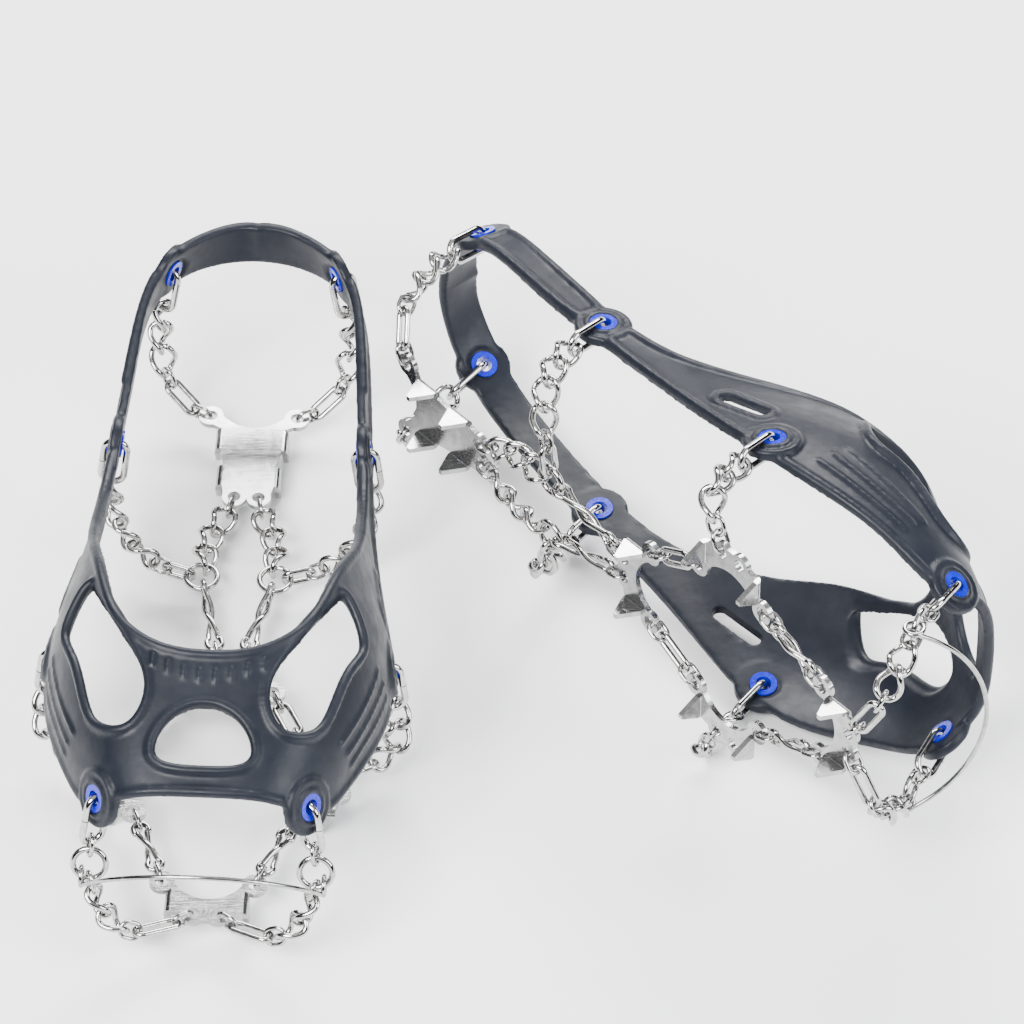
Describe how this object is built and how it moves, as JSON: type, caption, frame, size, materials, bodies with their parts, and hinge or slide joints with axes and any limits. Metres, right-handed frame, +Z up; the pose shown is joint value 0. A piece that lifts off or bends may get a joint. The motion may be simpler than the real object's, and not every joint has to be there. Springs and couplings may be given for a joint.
{
  "type": "shoe ice cleats",
  "caption": "Pair of slip-on shoe ice cleats: elastomer harness, twisted-link chains and spiked steel plates, one standing on its spikes and one lying on its side.",
  "frame": {"origin": "middle of the pair's footprint, on the ground", "axes": "+Z up; the upright cleat's toe points along -Y, and the pair's long way is X"},
  "size_m": [0.3428, 0.3006, 0.1372],
  "materials": {
    "elastomer": "satin",
    "grommet_blue": "gloss",
    "chain_steel": "polished",
    "plate_steel": "satin",
    "ring_steel": "polished",
    "spring_steel": "satin"
  },
  "bodies": {
    "upright_cleat": {"upright_harness": "elastomer", "upright_eyelet_grommets": "grommet_blue", "upright_left_toe_chain": "chain_steel", "upright_right_toe_chain": "chain_steel", "upright_left_ball_chain": "chain_steel", "upright_right_ball_chain": "chain_steel", "upright_left_heel_chain": "chain_steel", "upright_right_heel_chain": "chain_steel", "upright_left_spine_chain": "chain_steel", "upright_right_spine_chain": "chain_steel", "upright_left_arch_chain": "chain_steel", "upright_right_arch_chain": "chain_steel", "upright_left_plate_links": "chain_steel", "upright_right_plate_links": "chain_steel"},
    "upright_toe_plate": {"upright_toe_plate": "plate_steel"},
    "upright_rear_plate": {"upright_rear_plate": "plate_steel"},
    "upright_left_plate": {"upright_left_plate": "plate_steel"},
    "upright_right_plate": {"upright_right_plate": "plate_steel"},
    "upright_heel_plate": {"upright_heel_plate": "plate_steel"},
    "upright_toe_bail": {"upright_toe_bail": "spring_steel"},
    "upright_left_toe_ring": {"upright_left_toe_ring": "ring_steel"},
    "upright_right_toe_ring": {"upright_right_toe_ring": "ring_steel"},
    "upright_left_ball_ring": {"upright_left_ball_ring": "ring_steel"},
    "upright_right_ball_ring": {"upright_right_ball_ring": "ring_steel"},
    "upright_left_arch_ring": {"upright_left_arch_ring": "ring_steel"},
    "upright_right_arch_ring": {"upright_right_arch_ring": "ring_steel"},
    "upright_left_heel_ring": {"upright_left_heel_ring": "ring_steel"},
    "upright_right_heel_ring": {"upright_right_heel_ring": "ring_steel"},
    "lying_cleat": {"lying_harness": "elastomer", "lying_eyelet_grommets": "grommet_blue", "lying_left_toe_chain": "chain_steel", "lying_right_toe_chain": "chain_steel", "lying_left_ball_chain": "chain_steel", "lying_right_ball_chain": "chain_steel", "lying_left_heel_chain": "chain_steel", "lying_right_heel_chain": "chain_steel", "lying_left_spine_chain": "chain_steel", "lying_right_spine_chain": "chain_steel", "lying_left_arch_chain": "chain_steel", "lying_right_arch_chain": "chain_steel", "lying_left_plate_links": "chain_steel", "lying_right_plate_links": "chain_steel"},
    "lying_toe_plate": {"lying_toe_plate": "plate_steel"},
    "lying_rear_plate": {"lying_rear_plate": "plate_steel"},
    "lying_left_plate": {"lying_left_plate": "plate_steel"},
    "lying_right_plate": {"lying_right_plate": "plate_steel"},
    "lying_heel_plate": {"lying_heel_plate": "plate_steel"},
    "lying_toe_bail": {"lying_toe_bail": "spring_steel"},
    "lying_left_toe_ring": {"lying_left_toe_ring": "ring_steel"},
    "lying_right_toe_ring": {"lying_right_toe_ring": "ring_steel"},
    "lying_left_ball_ring": {"lying_left_ball_ring": "ring_steel"},
    "lying_right_ball_ring": {"lying_right_ball_ring": "ring_steel"},
    "lying_left_arch_ring": {"lying_left_arch_ring": "ring_steel"},
    "lying_right_arch_ring": {"lying_right_arch_ring": "ring_steel"},
    "lying_left_heel_ring": {"lying_left_heel_ring": "ring_steel"},
    "lying_right_heel_ring": {"lying_right_heel_ring": "ring_steel"}
  },
  "joints": [
    {"name": "upright_toe_plate_rock", "type": "hinge", "parent": "upright_cleat", "child": "upright_toe_plate", "pos_m": [-0.10675, -0.12271, 0.01], "axis": [0.9986, -0.0523, 0], "range_deg": [-4, 4]},
    {"name": "upright_rear_plate_rock", "type": "hinge", "parent": "upright_cleat", "child": "upright_rear_plate", "pos_m": [-0.10116, -0.01606, 0.01], "axis": [0.9986, -0.0523, 0], "range_deg": [-4, 4]},
    {"name": "upright_left_plate_rock", "type": "hinge", "parent": "upright_cleat", "child": "upright_left_plate", "pos_m": [-0.06612, -0.06786, 0.01], "axis": [-0.0523, -0.9986, 0], "range_deg": [-4, 4]},
    {"name": "upright_right_plate_rock", "type": "hinge", "parent": "upright_cleat", "child": "upright_right_plate", "pos_m": [-0.14142, -0.06392, 0.01], "axis": [-0.0523, -0.9986, 0], "range_deg": [-4, 4]},
    {"name": "upright_heel_plate_rock", "type": "hinge", "parent": "upright_cleat", "child": "upright_heel_plate", "pos_m": [-0.09563, 0.0894, 0.01], "axis": [0.9986, -0.0523, 0], "range_deg": [-2, 2]},
    {"name": "upright_toe_bail_swing", "type": "hinge", "parent": "upright_cleat", "child": "upright_toe_bail", "pos_m": [-0.10728, -0.13292, 0.03458], "axis": [0.9986, -0.0523, 0], "range_deg": [-14, 28]},
    {"name": "upright_left_toe_ring_twist", "type": "hinge", "parent": "upright_cleat", "child": "upright_left_toe_ring", "pos_m": [-0.0705, -0.12321, 0.064], "axis": [0.1589, -0.3522, -0.9223], "range_deg": [-8, 8]},
    {"name": "upright_right_toe_ring_twist", "type": "hinge", "parent": "upright_cleat", "child": "upright_right_toe_ring", "pos_m": [-0.14284, -0.11942, 0.064], "axis": [-0.1949, -0.3337, -0.9223], "range_deg": [-8, 8]},
    {"name": "upright_left_ball_ring_twist", "type": "hinge", "parent": "upright_cleat", "child": "upright_left_ball_ring", "pos_m": [-0.04297, -0.04634, 0.0487], "axis": [0.1359, -0.1758, -0.975], "range_deg": [-8, 8]},
    {"name": "upright_right_ball_ring_twist", "type": "hinge", "parent": "upright_cleat", "child": "upright_right_ball_ring", "pos_m": [-0.16219, -0.0401, 0.0487], "axis": [-0.1536, -0.1607, -0.975], "range_deg": [-8, 8]},
    {"name": "upright_left_arch_ring_twist", "type": "hinge", "parent": "upright_cleat", "child": "upright_left_arch_ring", "pos_m": [-0.05236, 0.05148, 0.055], "axis": [0.1198, -0.1452, -0.9821], "range_deg": [-8, 8]},
    {"name": "upright_right_arch_ring_twist", "type": "hinge", "parent": "upright_cleat", "child": "upright_right_arch_ring", "pos_m": [-0.14262, 0.05621, 0.055], "axis": [-0.1343, -0.1319, -0.9821], "range_deg": [-8, 8]},
    {"name": "upright_left_heel_ring_twist", "type": "hinge", "parent": "upright_cleat", "child": "upright_left_heel_ring", "pos_m": [-0.06168, 0.12968, 0.065], "axis": [0.162, -0.1202, -0.9794], "range_deg": [-8, 8]},
    {"name": "upright_right_heel_ring_twist", "type": "hinge", "parent": "upright_cleat", "child": "upright_right_heel_ring", "pos_m": [-0.12518, 0.133, 0.065], "axis": [-0.1736, -0.1026, -0.9794], "range_deg": [-8, 8]},
    {"name": "lying_toe_plate_rock", "type": "hinge", "parent": "lying_cleat", "child": "lying_toe_plate", "pos_m": [0.11561, -0.09882, 0.07453], "axis": [-0.007, -0.0983, -0.9951], "range_deg": [-4, 4]},
    {"name": "lying_rear_plate_rock", "type": "hinge", "parent": "lying_cleat", "child": "lying_rear_plate", "pos_m": [0.04572, -0.01841, 0.06708], "axis": [-0.007, -0.0983, -0.9951], "range_deg": [-4, 4]},
    {"name": "lying_left_plate_rock", "type": "hinge", "parent": "lying_cleat", "child": "lying_left_plate", "pos_m": [0.07811, -0.05968, 0.03304], "axis": [0.6545, -0.7529, 0.0698], "range_deg": [-4, 4]},
    {"name": "lying_right_plate_rock", "type": "hinge", "parent": "lying_cleat", "child": "lying_right_plate", "pos_m": [0.07864, -0.05227, 0.10808], "axis": [0.6545, -0.7529, 0.0698], "range_deg": [-4, 4]},
    {"name": "lying_heel_plate_rock", "type": "hinge", "parent": "lying_cleat", "child": "lying_heel_plate", "pos_m": [-0.02339, 0.06109, 0.05971], "axis": [-0.007, -0.0983, -0.9951], "range_deg": [-2, 2]},
    {"name": "lying_toe_bail_swing", "type": "hinge", "parent": "lying_cleat", "child": "lying_toe_bail", "pos_m": [0.14089, -0.09052, 0.07353], "axis": [-0.007, -0.0983, -0.9951], "range_deg": [-14, 28]},
    {"name": "lying_left_toe_ring_twist", "type": "hinge", "parent": "lying_cleat", "child": "lying_left_toe_ring", "pos_m": [0.15527, -0.06618, 0.03463], "axis": [-0.4738, -0.8762, -0.0881], "range_deg": [-8, 8]},
    {"name": "lying_right_toe_ring_twist", "type": "hinge", "parent": "lying_cleat", "child": "lying_right_toe_ring", "pos_m": [0.15578, -0.05906, 0.10672], "axis": [-0.4714, -0.8414, 0.2644], "range_deg": [-8, 8]},
    {"name": "lying_left_ball_ring_twist", "type": "hinge", "parent": "lying_cleat", "child": "lying_left_ball_ring", "pos_m": [0.09236, -0.01957, 0.00688], "axis": [-0.6279, -0.7756, -0.0647], "range_deg": [-8, 8]},
    {"name": "lying_right_ball_ring_twist", "type": "hinge", "parent": "lying_cleat", "child": "lying_right_ball_ring", "pos_m": [0.0932, -0.00783, 0.12568], "axis": [-0.6259, -0.7471, 0.2239], "range_deg": [-8, 8]},
    {"name": "lying_left_arch_ring_twist", "type": "hinge", "parent": "lying_cleat", "child": "lying_left_arch_ring", "pos_m": [0.03361, 0.05914, 0.01409], "axis": [-0.6527, -0.7561, -0.0486], "range_deg": [-8, 8]},
    {"name": "lying_right_arch_ring_twist", "type": "hinge", "parent": "lying_cleat", "child": "lying_right_arch_ring", "pos_m": [0.03424, 0.06802, 0.10404], "axis": [-0.6509, -0.7311, 0.2046], "range_deg": [-8, 8]},
    {"name": "lying_left_heel_ring_twist", "type": "hinge", "parent": "lying_cleat", "child": "lying_left_heel_ring", "pos_m": [-0.00952, 0.12538, 0.02132], "axis": [-0.6687, -0.7379, -0.0913], "range_deg": [-8, 8]},
    {"name": "lying_right_heel_ring_twist", "type": "hinge", "parent": "lying_cleat", "child": "lying_right_heel_ring", "pos_m": [-0.00907, 0.13163, 0.08459], "axis": [-0.6663, -0.7049, 0.2431], "range_deg": [-8, 8]},
    {"name": "lying_cleat_lift", "type": "slide", "parent": "upright_cleat", "child": "lying_cleat", "axis": [0, 0, 1], "range_m": [0, 0.15]}
  ]
}
